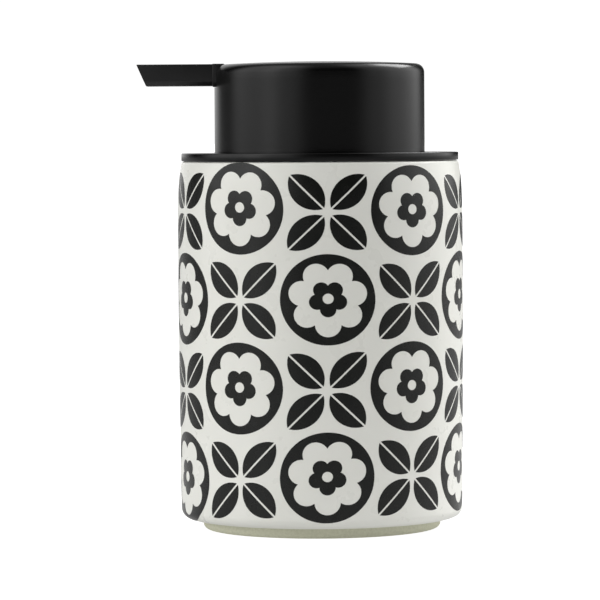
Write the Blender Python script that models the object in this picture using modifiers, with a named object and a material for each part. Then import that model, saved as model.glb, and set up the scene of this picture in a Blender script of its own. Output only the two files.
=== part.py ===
"""Soap pump dispenser: a ceramic bottle, a push-in lid with a pump, and a wide press-down head.

Units are metres and +Z is up. The origin is the centre of the bottle's foot. The pump's axis is the Z axis
and the spout points towards -X.
"""
import math

import bmesh
import bpy
from mathutils import Matrix

# ---------------------------------------------------------------- driving dimensions
GAP = 0.0003                     # between pieces that touch on the real object

# bottle
BOTTLE_RADIUS = 0.0400           # at its widest
BOTTLE_HEIGHT = 0.10305          # top of the rim
BELLY_HEIGHT = 0.0604            # height of the widest place
RIM_DRAW_IN = 0.00066            # how much narrower it is near the rim
RIM_REACH = 0.0400               # from the widest place up to where it is drawn in by that
RIM_CURVE = 8.0                  # the higher, the later and sharper it draws in
FOOT_DRAW_IN = 0.00040           # the same, towards the foot
FOOT_REACH = 0.0525
FOOT_CURVE = 1.3
BOTTOM_ROUND = 0.0028            # corner between side and underside
RIM_ROUND = 0.0012
MOUTH_RADIUS = 0.0354            # inside, from the floor to the rim
FLOOR_THICKNESS = 0.0065
FLOOR_ROUND = 0.0040
FOOT_RADIUS = 0.0334
FOOT_HEIGHT = 0.0031
FOOT_ROUND = 0.0015

# head
HEAD_RADIUS = 0.0295
HEAD_TOP = 0.13115               # crown of the cap
HEAD_BOTTOM = 0.1040             # lower edge of the cap, inside the lid's hole
HEAD_WALL = 0.0013
CROWN_DROP = 0.00075             # the top falls by this from its middle to its edge round
EDGE_ROUND = 0.0025
STROKE = 0.0120                  # how far the head is pressed down

# lid
PLATE_RADIUS = 0.03893
PLATE_TOP = 0.1056
PLATE_THICKNESS = 0.00225
PLATE_HOLE_RADIUS = 0.02995
PLATE_ROUND = 0.0003
WELL_RADIUS = 0.0304             # inside of the guide cup
WELL_WALL = 0.0018
WELL_FLOOR_TOP = HEAD_BOTTOM - STROKE - 0.0016     # the pressed head stays just clear of it
WELL_FLOOR_THICKNESS = 0.0018
WELL_FLANGE = 0.0012             # thickness of the flange under the plate
WELL_LIP = 0.0010                # keeps the seal from sliding off
FIN_RADIUS = 0.03515             # tips of the seal's fins

# spout
SPOUT_REACH = 0.0512             # tip, from the pump's axis
SPOUT_TOP = 0.1305
SPOUT_HEIGHT = 0.0061
SPOUT_WIDTH = 0.0110
SPOUT_CHAMFER = 0.0013           # lower long edges
SPOUT_TOP_ROUND = 0.0003
SPOUT_UNDERCUT = 0.0027          # the lower end stands back by this
COLLAR_WIDTH = 0.0120
COLLAR_REACH = 0.0299
COLLAR_BELOW = 0.00025           # the collar stands proud of the bar below
COLLAR_ABOVE = 0.0001            # and above
CHANNEL_RADIUS = 0.0018
CHANNEL_HEIGHT = 0.1270          # axis of the outlet channel
LINER_RADIUS = 0.0015
LINER_BORE = 0.0010

# pump
CHAMBER_RADIUS = 0.0065
CHAMBER_WALL = 0.0015
CHAMBER_BOTTOM = 0.0554
CYLINDER_TOP = 0.0950
FLANGE_RADIUS = 0.0120
STEM_RADIUS = 0.0040
STEM_BORE = 0.0016
STEM_BOTTOM = 0.0804
STEM_TOP = 0.1184
PISTON_BOTTOM = 0.0787
PISTON_TOP = 0.0867
LIP_RADIUS = 0.00635
WIRE_RADIUS = 0.00045
COIL_RADIUS = 0.0046
COIL_TURNS = 6
TUBE_RADIUS = 0.0035
TUBE_BORE = 0.0024
TUBE_BOTTOM = 0.0083
INLET_BALL_RADIUS = 0.0028
OUTLET_BALL_RADIUS = 0.0025

# mesh fineness
WIDE_STEPS = 48                  # round pieces as wide as the bottle
MIDDLE_STEPS = 28                # the pump's round pieces
THIN_STEPS = 20

# worked out
CYLINDER_RADIUS = CHAMBER_RADIUS + CHAMBER_WALL
PLATE_BOTTOM = PLATE_TOP - PLATE_THICKNESS
WELL_OUTSIDE = WELL_RADIUS + WELL_WALL
WELL_FLOOR_BOTTOM = WELL_FLOOR_TOP - WELL_FLOOR_THICKNESS
SPOUT_BOTTOM = SPOUT_TOP - SPOUT_HEIGHT

# ---------------------------------------------------------------- scene helpers
for leftover in list(bpy.data.objects):
    bpy.data.objects.remove(leftover, do_unlink=True)

PARTS = bpy.data.collections.new("soap_pump_dispenser")
CUTTERS = bpy.data.collections.new("cutters")
bpy.context.scene.collection.children.link(PARTS)
bpy.context.scene.collection.children.link(CUTTERS)


def skin(name, colour, roughness, metallic=0.0):
    """A plain Principled material."""
    material = bpy.data.materials.new(name)
    material.use_nodes = True
    shader = material.node_tree.nodes["Principled BSDF"]
    shader.inputs["Base Color"].default_value = (*colour, 1.0)
    shader.inputs["Roughness"].default_value = roughness
    shader.inputs["Metallic"].default_value = metallic
    return material


GLAZE = skin("white_glaze", (0.66, 0.66, 0.61), 0.25)
BLACK = skin("black_satin", (0.03, 0.03, 0.028), 0.40)
GREY_PLASTIC = skin("grey_plastic", (0.30, 0.31, 0.32), 0.50)
CLEAR_PLASTIC = skin("milky_plastic", (0.75, 0.77, 0.78), 0.35)
SILICONE = skin("silicone", (0.55, 0.56, 0.57), 0.60)
STEEL = skin("steel", (0.62, 0.62, 0.64), 0.25, 1.0)


def place(mesh, name, material, collection=PARTS):
    piece = bpy.data.objects.new(name, mesh)
    collection.objects.link(piece)
    if material:
        mesh.materials.append(material)
    return piece


def arc(centre_r, centre_z, radius, start, end, steps):
    """Points of a profile's round, from one angle to the other, in degrees."""
    points = []
    for step in range(steps + 1):
        angle = math.radians(start + (end - start) * step / steps)
        points.append((centre_r + radius * math.cos(angle), centre_z + radius * math.sin(angle)))
    return points


def turned(name, profile, material, steps, collection=PARTS):
    """Turn a profile of (radius, height) points about Z. It closes on itself unless it ends on the axis.

    The profile runs down its outer side.
    """
    mesh = bpy.data.meshes.new(name)
    count = len(profile)
    edges = [(i, i + 1) for i in range(count - 1)]
    if profile[0][0] > 0.0:
        edges.append((count - 1, 0))
    mesh.from_pydata([(radius, 0.0, height) for radius, height in profile], edges, [])
    piece = place(mesh, name, material, collection)
    turn = piece.modifiers.new("Turn", "SCREW")
    turn.axis = "Z"
    turn.steps = steps
    turn.render_steps = steps
    turn.use_merge_vertices = True
    turn.merge_threshold = 0.00001
    turn.use_smooth_shade = True
    return piece


def ring(name, inner, outer, bottom, top, material, steps):
    """A plain ring or tube."""
    profile = [(inner, top), (outer, top), (outer, bottom), (inner, bottom)]
    return turned(name, profile, material, steps)


def ball(name, radius, height, material):
    mesh = bpy.data.meshes.new(name)
    form = bmesh.new()
    bmesh.ops.create_uvsphere(form, u_segments=16, v_segments=10, radius=radius)
    form.to_mesh(mesh)
    form.free()
    mesh.shade_smooth()
    piece = place(mesh, name, material)
    piece.location = (0.0, 0.0, height)
    return piece


def box_form(name, low, high):
    """A box between two corners, kept as a cutter or a form."""
    mesh = bpy.data.meshes.new(name)
    form = bmesh.new()
    size = [b - a for a, b in zip(low, high)]
    middle = [(a + b) / 2 for a, b in zip(low, high)]
    bmesh.ops.create_cube(form, size=1.0, matrix=Matrix.Translation(middle) @ Matrix.Diagonal((*size, 1.0)))
    form.to_mesh(mesh)
    form.free()
    return place(mesh, name, None, CUTTERS)


def rod_form(name, radius, start, end, steps=THIN_STEPS):
    """A cylinder along X between two X values, on the outlet channel's height, as a cutter."""
    mesh = bpy.data.meshes.new(name)
    form = bmesh.new()
    turn = Matrix.Translation(((start + end) / 2, 0.0, CHANNEL_HEIGHT)) @ Matrix.Rotation(math.pi / 2, 4, "Y")
    bmesh.ops.create_cone(form, cap_ends=True, segments=steps, radius1=radius, radius2=radius,
                          depth=abs(end - start), matrix=turn)
    form.to_mesh(mesh)
    form.free()
    return place(mesh, name, None, CUTTERS)


def combine(piece, tool, operation):
    """Cut a piece with a form, or join the form to it. The form itself isn't part of the object."""
    tool.hide_render = True
    tool.display_type = "WIRE"
    change = piece.modifiers.new(tool.name, "BOOLEAN")
    change.operation = operation
    change.object = tool


def bar_along_x(name, outline, start, end, material, collection=PARTS):
    """Extrude a cross-section of (y, z) points along X. The result is a mesh, so that it can be cut."""
    curve = bpy.data.curves.new(name, "CURVE")
    curve.dimensions = "2D"
    curve.fill_mode = "BOTH"
    curve.extrude = abs(end - start) / 2
    spline = curve.splines.new("POLY")
    spline.points.add(len(outline) - 1)
    for point, (across, up) in zip(spline.points, outline):
        point.co = (across, up, 0.0, 1.0)
    spline.use_cyclic_u = True
    drawn = bpy.data.objects.new(name + "_outline", curve)
    CUTTERS.objects.link(drawn)
    # the curve's own x, y and z become the object's y, z and x
    turn = Matrix(((0, 0, 1, (start + end) / 2), (1, 0, 0, 0), (0, 1, 0, 0), (0, 0, 0, 1)))
    drawn.matrix_world = turn
    bpy.context.view_layer.update()
    mesh = bpy.data.meshes.new_from_object(drawn.evaluated_get(bpy.context.evaluated_depsgraph_get()))
    bpy.data.objects.remove(drawn, do_unlink=True)
    form = bmesh.new()
    form.from_mesh(mesh)
    bmesh.ops.remove_doubles(form, verts=form.verts, dist=0.000001)
    bmesh.ops.transform(form, matrix=turn, verts=form.verts)
    bmesh.ops.recalc_face_normals(form, faces=form.faces)
    form.to_mesh(mesh)
    form.free()
    mesh.name = name
    return place(mesh, name, material, collection)


# ---------------------------------------------------------------- bottle
def belly(height):
    """The bottle's outer radius: widest at the belly, drawn in more sharply to the rim than to the foot."""
    if height > BELLY_HEIGHT:
        return BOTTLE_RADIUS - RIM_DRAW_IN * ((height - BELLY_HEIGHT) / RIM_REACH) ** RIM_CURVE
    return BOTTLE_RADIUS - FOOT_DRAW_IN * ((BELLY_HEIGHT - height) / FOOT_REACH) ** FOOT_CURVE


def make_bottle():
    rim_outside = belly(BOTTLE_HEIGHT - RIM_ROUND)
    corner_height = FOOT_HEIGHT + BOTTOM_ROUND
    corner_outside = belly(corner_height)
    profile = [(0.0, FLOOR_THICKNESS)]
    profile += arc(MOUTH_RADIUS - FLOOR_ROUND, FLOOR_THICKNESS + FLOOR_ROUND, FLOOR_ROUND, -90, 0, 4)
    profile += arc(MOUTH_RADIUS + RIM_ROUND, BOTTLE_HEIGHT - RIM_ROUND, RIM_ROUND, 180, 90, 3)
    profile += arc(rim_outside - RIM_ROUND, BOTTLE_HEIGHT - RIM_ROUND, RIM_ROUND, 90, 0, 3)
    side_top = BOTTLE_HEIGHT - RIM_ROUND
    side_steps = 9
    for step in range(1, side_steps):
        height = side_top + (corner_height - side_top) * step / side_steps
        profile.append((belly(height), height))
    profile += arc(corner_outside - BOTTOM_ROUND, corner_height, BOTTOM_ROUND, 0, -90, 5)
    profile.append((FOOT_RADIUS, FOOT_HEIGHT))
    profile += arc(FOOT_RADIUS - FOOT_ROUND, FOOT_ROUND, FOOT_ROUND, 0, -90, 3)
    profile.append((0.0, 0.0))
    turned("bottle", profile, GLAZE, WIDE_STEPS)


# ---------------------------------------------------------------- lid
def make_lid_plate():
    inner = PLATE_HOLE_RADIUS
    outer = PLATE_RADIUS
    edge = PLATE_ROUND
    profile = [(inner, PLATE_TOP - edge), (inner + edge, PLATE_TOP)]
    profile += arc(outer - edge, PLATE_TOP - edge, edge, 90, 0, 2)
    profile += arc(outer - edge, PLATE_BOTTOM + edge, edge, 0, -90, 2)
    profile.append((inner, PLATE_BOTTOM))
    turned("lid_plate", profile, BLACK, WIDE_STEPS)


def make_lid_well():
    """Plug and guide cup: a flange under the plate, a wall, and a floor with a hole for the cylinder."""
    flange_top = PLATE_BOTTOM - GAP
    flange_bottom = flange_top - WELL_FLANGE
    flange_radius = MOUTH_RADIUS - 0.0004
    lip_radius = WELL_OUTSIDE + WELL_LIP
    floor_chamfer = 0.0010
    profile = [
        (WELL_RADIUS, flange_top),
        (flange_radius, flange_top),
        (flange_radius, flange_bottom),
        (WELL_OUTSIDE, flange_bottom),
        (WELL_OUTSIDE, WELL_FLOOR_BOTTOM + WELL_LIP),
        (lip_radius, WELL_FLOOR_BOTTOM + WELL_LIP),
        (lip_radius, WELL_FLOOR_BOTTOM),
        (CYLINDER_RADIUS + GAP, WELL_FLOOR_BOTTOM),
        (CYLINDER_RADIUS + GAP, WELL_FLOOR_TOP),
        (WELL_RADIUS - floor_chamfer, WELL_FLOOR_TOP),
        (WELL_RADIUS, WELL_FLOOR_TOP + floor_chamfer),
    ]
    turned("lid_well", profile, GREY_PLASTIC, WIDE_STEPS)


def make_lid_seal():
    """Silicone sleeve round the plug, with three fins that grip the mouth."""
    bottom = WELL_FLOOR_BOTTOM + WELL_LIP + GAP
    top = PLATE_BOTTOM - GAP - WELL_FLANGE - GAP
    inner = WELL_OUTSIDE + GAP
    sleeve = inner + 0.0010
    fins = 3
    pitch = (top - bottom) / fins
    profile = [(inner, top), (sleeve, top)]
    for fin in range(fins):
        root = top - pitch * fin
        profile.append((sleeve, root - 0.25 * pitch))
        profile.append((FIN_RADIUS, root - 0.40 * pitch))
        profile.append((FIN_RADIUS, root - 0.55 * pitch))
        profile.append((sleeve, root - 0.75 * pitch))
    profile += [(sleeve, bottom), (inner, bottom)]
    turned("lid_seal", profile, SILICONE, MIDDLE_STEPS)


# ---------------------------------------------------------------- pump
FLANGE_BOTTOM = WELL_FLOOR_TOP + 0.0014          # leaves room for the gasket
FLANGE_TOP = FLANGE_BOTTOM + 0.0012
SEAT_SLOPE_TOP = 0.0509          # height at which the inlet seat's 45 degree cone starts
POCKET_RADIUS = 0.0042
INLET_BORE = 0.0018
SOCKET_TOP = 0.0474
SOCKET_BOTTOM = 0.0394


def make_pump_cylinder():
    """Chamber with a flange, and below it the inlet valve's seat and the socket for the dip tube."""
    socket_wall = 0.0018
    profile = [
        (CHAMBER_RADIUS, CYLINDER_TOP),
        (CYLINDER_RADIUS, CYLINDER_TOP),
        (CYLINDER_RADIUS, FLANGE_TOP),
        (FLANGE_RADIUS, FLANGE_TOP),
        (FLANGE_RADIUS, FLANGE_BOTTOM),
        (CYLINDER_RADIUS, FLANGE_BOTTOM),
        (CYLINDER_RADIUS, CHAMBER_BOTTOM - 0.0010),
        (TUBE_RADIUS + GAP + socket_wall, SEAT_SLOPE_TOP - 0.0005),
        (TUBE_RADIUS + socket_wall, SOCKET_BOTTOM),
        (TUBE_RADIUS + GAP, SOCKET_BOTTOM),
        (TUBE_RADIUS + GAP, SOCKET_TOP),
        (INLET_BORE, SOCKET_TOP),
        (INLET_BORE, SEAT_SLOPE_TOP - (POCKET_RADIUS - INLET_BORE)),
        (POCKET_RADIUS, SEAT_SLOPE_TOP),
        (POCKET_RADIUS, CHAMBER_BOTTOM),
        (CHAMBER_RADIUS, CHAMBER_BOTTOM),
    ]
    cylinder = turned("pump_cylinder", profile, CLEAR_PLASTIC, MIDDLE_STEPS)
    vent_height = 0.0824
    half_vent = 0.0006
    vent = box_form("vent_cutter", (CHAMBER_RADIUS - 0.001, -half_vent, vent_height - half_vent),
                    (CYLINDER_RADIUS + 0.001, half_vent, vent_height + half_vent))
    combine(cylinder, vent, "DIFFERENCE")


def make_cylinder_gasket():
    ring("cylinder_gasket", CYLINDER_RADIUS + 0.0006, FLANGE_RADIUS - 0.0002,
         WELL_FLOOR_TOP + GAP, FLANGE_BOTTOM - GAP, SILICONE, MIDDLE_STEPS)


def make_lock_nut():
    """Hexagon nut on the cylinder's thread, under the well's floor."""
    top = WELL_FLOOR_BOTTOM - GAP
    height = 0.0033
    corner_radius = 0.0130
    mesh = bpy.data.meshes.new("lock_nut")
    form = bmesh.new()
    bmesh.ops.create_cone(form, cap_ends=True, segments=6, radius1=corner_radius,
                          radius2=corner_radius, depth=height,
                          matrix=Matrix.Translation((0.0, 0.0, top - height / 2)))
    form.to_mesh(mesh)
    form.free()
    nut = place(mesh, "lock_nut", CLEAR_PLASTIC)
    bore = turned("nut_bore_cutter",
                  [(0.0, top + 0.001), (CYLINDER_RADIUS + GAP, top + 0.001),
                   (CYLINDER_RADIUS + GAP, top - height - 0.001), (0.0, top - height - 0.001)],
                  None, MIDDLE_STEPS, CUTTERS)
    combine(nut, bore, "DIFFERENCE")


CAP_TOP = 0.0968
CAP_SLEEVE_BOTTOM = 0.0879


def make_cylinder_cap():
    """Closes the cylinder: a skirt outside it, and a sleeve inside it that guides the stem."""
    guide = STEM_RADIUS + 0.0004
    sleeve = CHAMBER_RADIUS - 0.0004
    skirt = CYLINDER_RADIUS + 0.00035
    outside = 0.0104
    chamfer = 0.0006
    profile = [
        (guide, CAP_TOP),
        (outside - chamfer, CAP_TOP),
        (outside, CAP_TOP - chamfer),
        (outside, FLANGE_TOP + GAP),
        (skirt, FLANGE_TOP + GAP),
        (skirt, CYLINDER_TOP + GAP),
        (sleeve, CYLINDER_TOP + GAP),
        (sleeve, CAP_SLEEVE_BOTTOM),
        (guide, CAP_SLEEVE_BOTTOM),
    ]
    turned("cylinder_cap", profile, CLEAR_PLASTIC, MIDDLE_STEPS)


CAGE_BOTTOM = CHAMBER_BOTTOM + GAP
CAGE_TOP = CAGE_BOTTOM + 0.0020


def make_ball_cage():
    """Ring that keeps the inlet ball down. Crossed slots let the soap past the ball."""
    hole = 0.0019
    cage = ring("ball_cage", hole, CHAMBER_RADIUS - GAP, CAGE_BOTTOM, CAGE_TOP, CLEAR_PLASTIC, THIN_STEPS)
    half_slot = 0.00075
    reach = 0.0048
    for name, half_x, half_y in (("slot_x_cutter", reach, half_slot), ("slot_y_cutter", half_slot, reach)):
        slot = box_form(name, (-half_x, -half_y, CAGE_BOTTOM - 0.001), (half_x, half_y, CAGE_TOP + 0.001))
        combine(cage, slot, "DIFFERENCE")


def seated(slope_start, bore, radius):
    """Height of a ball's centre when it rests on a 45 degree cone that starts at a bore's edge."""
    clearance = 0.0002
    return slope_start - bore + math.sqrt(2.0) * (radius + clearance)


def make_inlet_ball():
    slope_start = SEAT_SLOPE_TOP - (POCKET_RADIUS - INLET_BORE)
    ball("inlet_ball", INLET_BALL_RADIUS, seated(slope_start, INLET_BORE, INLET_BALL_RADIUS), STEEL)


PLUG_BOTTOM = 0.0774


def make_return_spring():
    """Compression spring between the ball cage and the piston, with flat closed ends."""
    bottom = CAGE_TOP + GAP + WIRE_RADIUS
    top = PLUG_BOTTOM - GAP - WIRE_RADIUS
    points_per_turn = 12
    closed_pitch = 2.1 * WIRE_RADIUS
    count = COIL_TURNS * points_per_turn
    open_turns = COIL_TURNS - 2
    open_pitch = (top - bottom - 2 * closed_pitch) / open_turns
    curve = bpy.data.curves.new("return_spring", "CURVE")
    curve.dimensions = "3D"
    curve.bevel_depth = WIRE_RADIUS
    curve.bevel_resolution = 2
    curve.use_fill_caps = True
    wire = curve.splines.new("POLY")
    wire.points.add(count)
    for index, point in enumerate(wire.points):
        turns = index / points_per_turn
        angle = 2 * math.pi * turns
        low_end = min(turns, 1.0) * closed_pitch
        middle = min(max(turns - 1.0, 0.0), open_turns) * open_pitch
        high_end = max(turns - 1.0 - open_turns, 0.0) * closed_pitch
        height = bottom + low_end + middle + high_end
        point.co = (COIL_RADIUS * math.cos(angle), COIL_RADIUS * math.sin(angle), height, 1.0)
    spring = bpy.data.objects.new("return_spring", curve)
    PARTS.objects.link(spring)
    curve.materials.append(STEEL)


def make_dip_tube():
    top = SOCKET_TOP - 0.0004
    tube = ring("dip_tube", TUBE_BORE, TUBE_RADIUS, TUBE_BOTTOM, top, CLEAR_PLASTIC, THIN_STEPS)
    end_slant = math.radians(40)
    slant = box_form("tube_end_cutter", (-0.0100, -0.0060, -0.0100), (0.0100, 0.0060, 0.0))
    slant.matrix_world = Matrix.Translation((0.0, 0.0, TUBE_BOTTOM + TUBE_RADIUS)) @ Matrix.Rotation(
        end_slant, 4, "Y")
    combine(tube, slant, "DIFFERENCE")


def make_piston():
    """Lipped sleeve at the foot of the stem: a thin lip at each end slides on the chamber's wall."""
    body = 0.0053
    neck = 0.0029
    lip = 0.0012                 # length of a lip
    lip_edge = 0.0005            # thickness at its edge
    shoulder = 0.0030            # where a lip runs out into the body
    profile = [
        (STEM_RADIUS + GAP, PISTON_TOP - lip),
        (body, PISTON_TOP - lip),
        (LIP_RADIUS - lip_edge, PISTON_TOP),
        (LIP_RADIUS, PISTON_TOP),
        (LIP_RADIUS, PISTON_TOP - lip),
        (body, PISTON_TOP - shoulder),
        (body, PISTON_BOTTOM + shoulder),
        (LIP_RADIUS, PISTON_BOTTOM + lip),
        (LIP_RADIUS, PISTON_BOTTOM),
        (LIP_RADIUS - lip_edge, PISTON_BOTTOM),
        (body, PISTON_BOTTOM + lip),
        (neck, PISTON_BOTTOM + lip),
        (neck, STEM_BOTTOM - GAP),
        (STEM_RADIUS + GAP, STEM_BOTTOM - GAP),
    ]
    turned("piston", profile, SILICONE, MIDDLE_STEPS)


STEM_COUNTERBORE = 0.0029        # lower end, takes the plug's neck
STEM_COUNTERBORE_TOP = 0.0850
OUTLET_POCKET = 0.0032           # upper end, holds the outlet ball
OUTLET_SEAT = 0.1099             # height where the outlet seat's cone starts


def make_piston_plug():
    """Hollow plug that locks the piston to the stem, with a flange that the spring pushes on."""
    bore = 0.0014
    neck = STEM_COUNTERBORE - GAP
    flange = 0.0052
    flange_top = PISTON_BOTTOM - GAP
    profile = [
        (bore, STEM_COUNTERBORE_TOP - GAP),
        (neck, STEM_COUNTERBORE_TOP - GAP),
        (neck, flange_top),
        (flange, flange_top),
        (flange, PLUG_BOTTOM),
        (bore, PLUG_BOTTOM),
    ]
    turned("piston_plug", profile, CLEAR_PLASTIC, THIN_STEPS)


def make_stem():
    profile = [
        (OUTLET_POCKET, STEM_TOP),
        (STEM_RADIUS, STEM_TOP),
        (STEM_RADIUS, STEM_BOTTOM),
        (STEM_COUNTERBORE, STEM_BOTTOM),
        (STEM_COUNTERBORE, STEM_COUNTERBORE_TOP),
        (STEM_BORE, STEM_COUNTERBORE_TOP),
        (STEM_BORE, OUTLET_SEAT),
        (OUTLET_POCKET, OUTLET_SEAT + OUTLET_POCKET - STEM_BORE),
    ]
    turned("stem", profile, CLEAR_PLASTIC, THIN_STEPS)


def make_outlet_ball():
    ball("outlet_ball", OUTLET_BALL_RADIUS, seated(OUTLET_SEAT, STEM_BORE, OUTLET_BALL_RADIUS), STEEL)


def make_outlet_cage():
    """Small ring pressed into the stem's top, over the outlet ball."""
    hole = 0.0016
    ring("outlet_cage", hole, OUTLET_POCKET - GAP, STEM_TOP - 0.0014, STEM_TOP - 0.0002, CLEAR_PLASTIC,
         THIN_STEPS)


# ---------------------------------------------------------------- head
def crown(radius, offset=0.0):
    """Height of the cap's gently domed top at a radius."""
    edge = HEAD_RADIUS - EDGE_ROUND
    return HEAD_TOP - offset - CROWN_DROP * (radius / edge) ** 2


def make_head_cap():
    edge = HEAD_RADIUS - EDGE_ROUND
    round_height = crown(edge) - EDGE_ROUND
    inside_round = EDGE_ROUND - HEAD_WALL
    outside = [(0.0, HEAD_TOP)]
    inside = [(0.0, HEAD_TOP - HEAD_WALL)]
    for step in range(1, 4):
        radius = edge * step / 4
        outside.append((radius, crown(radius)))
        inside.append((radius, crown(radius, HEAD_WALL)))
    outside += arc(edge, round_height, EDGE_ROUND, 87, 0, 5)
    inside += arc(edge, round_height, inside_round, 90, 0, 3)
    outside += [(HEAD_RADIUS, HEAD_BOTTOM + 0.0003), (HEAD_RADIUS - 0.0003, HEAD_BOTTOM)]
    inside.append((HEAD_RADIUS - HEAD_WALL, HEAD_BOTTOM))
    cap = turned("head_cap", outside + inside[::-1], BLACK, WIDE_STEPS)
    half_slot = COLLAR_WIDTH / 2 + GAP
    slot_start = HEAD_RADIUS - 0.0033
    slot = box_form("spout_slot_cutter",
                    (-HEAD_RADIUS - 0.002, -half_slot, SPOUT_BOTTOM - COLLAR_BELOW - GAP),
                    (-slot_start, half_slot, HEAD_TOP + 0.001))
    combine(cap, slot, "DIFFERENCE")


def make_head_core():
    """Carrier inside the cap: a ring and a plate, with a boss that takes the stem and feeds the channel."""
    ring_outside = HEAD_RADIUS - HEAD_WALL - GAP
    ring_inside = ring_outside - 0.0015
    ring_bottom = 0.1084
    plate_top = 0.1224
    plate_bottom = 0.1210
    boss = 0.0065
    boss_bottom = 0.1114
    boss_top = 0.1295
    socket = STEM_RADIUS + GAP
    socket_top = STEM_TOP + 0.0004
    riser_top = CHANNEL_HEIGHT
    profile = [
        (0.0, boss_top),
        (boss, boss_top),
        (boss, plate_top),
        (ring_outside, plate_top),
        (ring_outside, ring_bottom),
        (ring_inside, ring_bottom),
        (ring_inside, plate_bottom),
        (boss, plate_bottom),
        (boss, boss_bottom),
        (socket, boss_bottom),
        (socket, socket_top),
        (CHANNEL_RADIUS, socket_top),
        (CHANNEL_RADIUS, riser_top),
        (0.0, riser_top),
    ]
    core = turned("head_core", profile, GREY_PLASTIC, WIDE_STEPS)
    combine(core, rod_form("core_channel_cutter", CHANNEL_RADIUS, -boss - 0.001, 0.0), "DIFFERENCE")


def bar_outline(half_width, bottom, top, chamfer, top_round):
    """Cross-section of the spout: chamfered below and slightly rounded above, as (y, z) points."""
    return [
        (half_width - chamfer * 0.8, bottom),
        (half_width, bottom + chamfer),
        (half_width, top - top_round),
        (half_width - top_round, top),
        (-half_width + top_round, top),
        (-half_width, top - top_round),
        (-half_width, bottom + chamfer),
        (-half_width + chamfer * 0.8, bottom),
    ]


def make_spout():
    """Flat bar with a slanted end, a root collar in the cap's slot, and a bore for the liner."""
    root = HEAD_RADIUS - 0.0029
    bar = bar_outline(SPOUT_WIDTH / 2, SPOUT_BOTTOM, SPOUT_TOP, SPOUT_CHAMFER, SPOUT_TOP_ROUND)
    spout = bar_along_x("spout", bar, -SPOUT_REACH - 0.002, -root - 0.001, BLACK)
    collar_outline = bar_outline(COLLAR_WIDTH / 2, SPOUT_BOTTOM - COLLAR_BELOW, SPOUT_TOP + COLLAR_ABOVE,
                                 SPOUT_CHAMFER, SPOUT_TOP_ROUND)
    collar = bar_along_x("collar_form", collar_outline, -COLLAR_REACH, -root, None, CUTTERS)
    combine(spout, collar, "UNION")
    slant = box_form("spout_end_cutter", (-0.0100, -0.0100, -0.0150), (0.0, 0.0100, 0.0150))
    angle = math.atan2(SPOUT_UNDERCUT, SPOUT_HEIGHT)
    slant.matrix_world = Matrix.Translation((-SPOUT_REACH, 0.0, SPOUT_TOP)) @ Matrix.Rotation(-angle, 4, "Y")
    combine(spout, slant, "DIFFERENCE")
    combine(spout, rod_form("spout_bore_cutter", CHANNEL_RADIUS, -SPOUT_REACH - 0.002, -root + 0.002),
            "DIFFERENCE")


def make_spout_tube():
    """Liner from the core's channel to just inside the spout's end."""
    start = -0.0030
    end = -SPOUT_REACH + 0.0022
    mesh = bpy.data.meshes.new("spout_tube")
    form = bmesh.new()
    turn = Matrix.Translation(((start + end) / 2, 0.0, CHANNEL_HEIGHT)) @ Matrix.Rotation(math.pi / 2, 4, "Y")
    bmesh.ops.create_cone(form, cap_ends=True, segments=16, radius1=LINER_RADIUS, radius2=LINER_RADIUS,
                          depth=start - end, matrix=turn)
    form.to_mesh(mesh)
    form.free()
    tube = place(mesh, "spout_tube", CLEAR_PLASTIC)
    combine(tube, rod_form("liner_bore_cutter", LINER_BORE, start + 0.001, end - 0.001, 16), "DIFFERENCE")


# ---------------------------------------------------------------- the whole dispenser
make_bottle()

make_lid_plate()
make_lid_well()
make_lid_seal()

make_pump_cylinder()
make_cylinder_gasket()
make_lock_nut()
make_cylinder_cap()
make_ball_cage()
make_inlet_ball()
make_return_spring()
make_dip_tube()

make_piston()
make_piston_plug()
make_stem()
make_outlet_ball()
make_outlet_cage()

make_head_cap()
make_head_core()
make_spout()
make_spout_tube()
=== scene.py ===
"""Looks of the soap pump dispenser: finer meshes, the print, procedural materials, camera and light.

Units are metres, in the CAD model's own frame: +Z up along the pump's axis, the spout towards -X.
"""

import math

import bmesh
import bpy
from mathutils import Matrix, Vector


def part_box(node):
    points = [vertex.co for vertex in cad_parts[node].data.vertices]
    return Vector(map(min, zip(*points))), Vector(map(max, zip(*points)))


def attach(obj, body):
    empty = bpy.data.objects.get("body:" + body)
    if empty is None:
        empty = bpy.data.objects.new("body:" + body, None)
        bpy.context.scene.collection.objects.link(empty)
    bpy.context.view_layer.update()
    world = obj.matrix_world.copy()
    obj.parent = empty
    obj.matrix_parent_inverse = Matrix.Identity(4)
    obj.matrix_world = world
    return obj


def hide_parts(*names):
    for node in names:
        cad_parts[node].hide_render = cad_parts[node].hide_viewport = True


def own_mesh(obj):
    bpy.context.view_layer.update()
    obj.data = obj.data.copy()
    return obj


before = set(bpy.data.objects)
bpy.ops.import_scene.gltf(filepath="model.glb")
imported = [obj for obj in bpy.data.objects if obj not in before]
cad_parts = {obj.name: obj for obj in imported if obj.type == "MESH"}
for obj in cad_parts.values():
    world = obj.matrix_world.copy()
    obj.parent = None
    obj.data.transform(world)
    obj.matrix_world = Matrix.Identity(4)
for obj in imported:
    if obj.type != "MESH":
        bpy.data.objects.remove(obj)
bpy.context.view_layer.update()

MM = 0.001

# ---------------------------------------------------------------- sizes taken from the frame
BOTTLE_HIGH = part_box("bottle")[1]
PLATE_LOW, PLATE_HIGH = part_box("lid_plate")
CAP_LOW, CAP_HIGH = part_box("head_cap")
SPOUT_LOW, SPOUT_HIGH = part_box("spout")

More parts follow.
